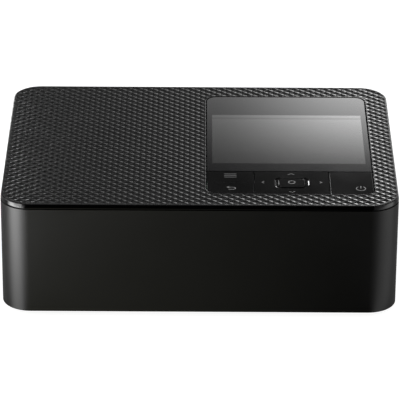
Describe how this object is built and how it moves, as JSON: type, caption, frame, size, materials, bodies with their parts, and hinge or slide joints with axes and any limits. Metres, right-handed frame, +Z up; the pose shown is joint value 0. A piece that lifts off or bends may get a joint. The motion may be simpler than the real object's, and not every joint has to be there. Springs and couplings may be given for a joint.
{
  "type": "photo printer",
  "caption": "Low black box with rounded corners, a dimpled top, a flush display and key row, a fold-down front door and a side ink door over a roller paper drive.",
  "frame": {"origin": "on the surface it stands on, under the middle of the casing", "axes": "+X to the right seen from the front, +Y towards the rear, +Z up"},
  "size_m": [0.1822, 0.133, 0.0576],
  "materials": {
    "casing": "satin black moulding",
    "top_texture": "dimpled black moulding with a glossy rim",
    "inner_plastic": "matt black moulding",
    "key_plastic": "glossy black moulding",
    "display_glass": "glossy dark glass",
    "display": "display stack",
    "steel": "zinc-plated sheet and turned steel",
    "heat_sink_aluminium": "extruded aluminium",
    "ceramic": "glazed ceramic head",
    "rubber": "matt black rubber",
    "gear_plastic": "natural white moulding",
    "brass": "turned brass",
    "board": "green circuit board",
    "cassette_plastic": "dark grey moulding",
    "ribbon": "dye ribbon"
  },
  "bodies": {
    "chassis": {"base_tray": "inner_plastic", "rubber_feet": "rubber", "side_cover_left": "casing", "side_cover_right": "casing", "rear_cover": "casing", "top_cover": "top_texture", "front_frame": "inner_plastic", "lcd_window": "display_glass", "lcd_module": "display", "panel_frame": "inner_plastic", "key_board": "board", "key_carrier": "inner_plastic", "chassis_left": "steel", "chassis_right": "steel", "front_crossmember": "steel", "rear_crossmember": "steel", "gear_bracket": "steel", "bay_guide_left": "inner_plastic", "bay_guide_right": "inner_plastic", "feed_guide": "inner_plastic", "feed_motor": "steel", "pickup_motor": "steel", "ink_cassette_case": "cassette_plastic", "ink_ribbon": "ribbon", "take_up_motor": "steel", "main_board": "board", "fan_frame": "inner_plastic", "dc_inlet": "inner_plastic", "usb_socket": "steel", "card_reader": "steel", "case_screws": "steel"},
    "front_door": {"front_door": "casing"},
    "ink_door": {"ink_door": "casing"},
    "menu_key": {"menu_key": "key_plastic"},
    "pad_ring": {"pad_ring": "gear_plastic"},
    "pad_key": {"pad_key": "key_plastic"},
    "ok_key": {"ok_key": "key_plastic"},
    "power_key": {"power_key": "key_plastic"},
    "capstan": {"capstan_roller": "steel", "capstan_gear": "gear_plastic"},
    "pinch_roller": {"pinch_roller": "rubber"},
    "reduction_gear": {"reduction_gear": "gear_plastic"},
    "feed_pinion": {"feed_pinion": "brass"},
    "platen_roller": {"platen_roller": "rubber"},
    "pickup": {"pickup_shaft": "steel", "pickup_tyres": "rubber", "pickup_gear": "gear_plastic"},
    "pickup_pinion": {"pickup_pinion": "brass"},
    "idler_gear": {"idler_gear": "gear_plastic"},
    "exit_roller": {"exit_roller": "rubber", "exit_gear": "gear_plastic"},
    "head": {"head_arm": "steel", "thermal_head": "ceramic", "heat_sink": "heat_sink_aluminium"},
    "supply_spool": {"supply_spool": "ribbon"},
    "take_up": {"take_up_spool": "cassette_plastic", "take_up_gear": "gear_plastic"},
    "take_up_pinion": {"take_up_pinion": "brass"},
    "fan_rotor": {"fan_rotor": "inner_plastic"},
    "eject_lever": {"eject_lever": "cassette_plastic"}
  },
  "joints": [
    {"name": "front_door_hinge", "type": "hinge", "parent": "chassis", "child": "front_door", "pos_m": [0, -0.062, 0.0055], "axis": [1, 0, 0], "range_deg": [0, 90]},
    {"name": "ink_door_hinge", "type": "hinge", "parent": "chassis", "child": "ink_door", "pos_m": [0.0895, 0.048, 0.0365], "axis": [0, 0, 1], "range_deg": [0, 90]},
    {"name": "menu_key_rock", "type": "hinge", "parent": "chassis", "child": "menu_key", "pos_m": [0.01402, -0.04188, 0.05515], "axis": [1, 0, 0], "range_deg": [-2, 2], "stiffness_Nm_per_rad": 0.03},
    {"name": "pad_rock_y", "type": "hinge", "parent": "chassis", "child": "pad_ring", "pos_m": [0.04235, -0.04188, 0.05515], "axis": [1, 0, 0], "range_deg": [-1.5, 1.5], "stiffness_Nm_per_rad": 0.04},
    {"name": "pad_rock_x", "type": "hinge", "parent": "pad_ring", "child": "pad_key", "pos_m": [0.04235, -0.04188, 0.05515], "axis": [0, 1, 0], "range_deg": [-1.5, 1.5], "stiffness_Nm_per_rad": 0.04},
    {"name": "ok_key_travel", "type": "slide", "parent": "pad_key", "child": "ok_key", "axis": [0, 0, -1], "range_m": [0, 0.0005], "stiffness_N_per_m": 400, "springref_m": -0.0002},
    {"name": "power_key_travel", "type": "slide", "parent": "chassis", "child": "power_key", "axis": [0, 0, -1], "range_m": [0, 0.0005], "stiffness_N_per_m": 400, "springref_m": -0.0002},
    {"name": "capstan_spin", "type": "hinge", "parent": "chassis", "child": "capstan", "pos_m": [0, 0.052, 0.0203], "axis": [1, 0, 0], "continuous": true},
    {"name": "pinch_spin", "type": "hinge", "parent": "chassis", "child": "pinch_roller", "pos_m": [0, 0.052, 0.02785], "axis": [1, 0, 0], "continuous": true},
    {"name": "reduction_spin", "type": "hinge", "parent": "chassis", "child": "reduction_gear", "pos_m": [-0.07, 0.03832, 0.01532], "axis": [1, 0, 0], "continuous": true},
    {"name": "feed_motor_spin", "type": "hinge", "parent": "chassis", "child": "feed_pinion", "pos_m": [-0.074, 0.02698, 0.01945], "axis": [1, 0, 0], "continuous": true},
    {"name": "platen_spin", "type": "hinge", "parent": "chassis", "child": "platen_roller", "pos_m": [0, 0.012, 0.0173], "axis": [1, 0, 0], "continuous": true},
    {"name": "pickup_spin", "type": "hinge", "parent": "chassis", "child": "pickup", "pos_m": [0, -0.032, 0.026], "axis": [1, 0, 0], "continuous": true},
    {"name": "pickup_motor_spin", "type": "hinge", "parent": "chassis", "child": "pickup_pinion", "pos_m": [-0.074, -0.02294, 0.03506], "axis": [1, 0, 0], "continuous": true},
    {"name": "idler_spin", "type": "hinge", "parent": "chassis", "child": "idler_gear", "pos_m": [-0.069, -0.01605, 0.01994], "axis": [1, 0, 0], "continuous": true},
    {"name": "exit_spin", "type": "hinge", "parent": "chassis", "child": "exit_roller", "pos_m": [0, -0.004, 0.0203], "axis": [1, 0, 0], "continuous": true},
    {"name": "head_lower", "type": "hinge", "parent": "chassis", "child": "head", "pos_m": [0, 0.054, 0.046], "axis": [1, 0, 0], "range_deg": [0, 3.5]},
    {"name": "supply_spin", "type": "hinge", "parent": "chassis", "child": "supply_spool", "pos_m": [0, -0.012, 0.036], "axis": [1, 0, 0], "continuous": true},
    {"name": "take_up_spin", "type": "hinge", "parent": "chassis", "child": "take_up", "pos_m": [0, 0.036, 0.036], "axis": [1, 0, 0], "continuous": true},
    {"name": "take_up_motor_spin", "type": "hinge", "parent": "chassis", "child": "take_up_pinion", "pos_m": [-0.074, 0.02577, 0.0419], "axis": [1, 0, 0], "continuous": true},
    {"name": "fan_spin", "type": "hinge", "parent": "chassis", "child": "fan_rotor", "pos_m": [0.0665, 0.061, 0.026], "axis": [0, 1, 0], "continuous": true},
    {"name": "eject_lever_swing", "type": "hinge", "parent": "chassis", "child": "eject_lever", "pos_m": [0.068, -0.0275, 0.044], "axis": [1, 0, 0], "range_deg": [0, 40]}
  ],
  "couplings": [
    {"joint": "pinch_spin", "follows": "capstan_spin", "ratio": -1.1429},
    {"joint": "reduction_spin", "follows": "capstan_spin", "ratio": -2.625},
    {"joint": "feed_motor_spin", "follows": "capstan_spin", "ratio": 7.875},
    {"joint": "pickup_motor_spin", "follows": "pickup_spin", "ratio": -3.6364},
    {"joint": "idler_spin", "follows": "pickup_spin", "ratio": -1.4286},
    {"joint": "exit_spin", "follows": "pickup_spin", "ratio": 2},
    {"joint": "take_up_motor_spin", "follows": "take_up_spin", "ratio": -3.2727}
  ]
}
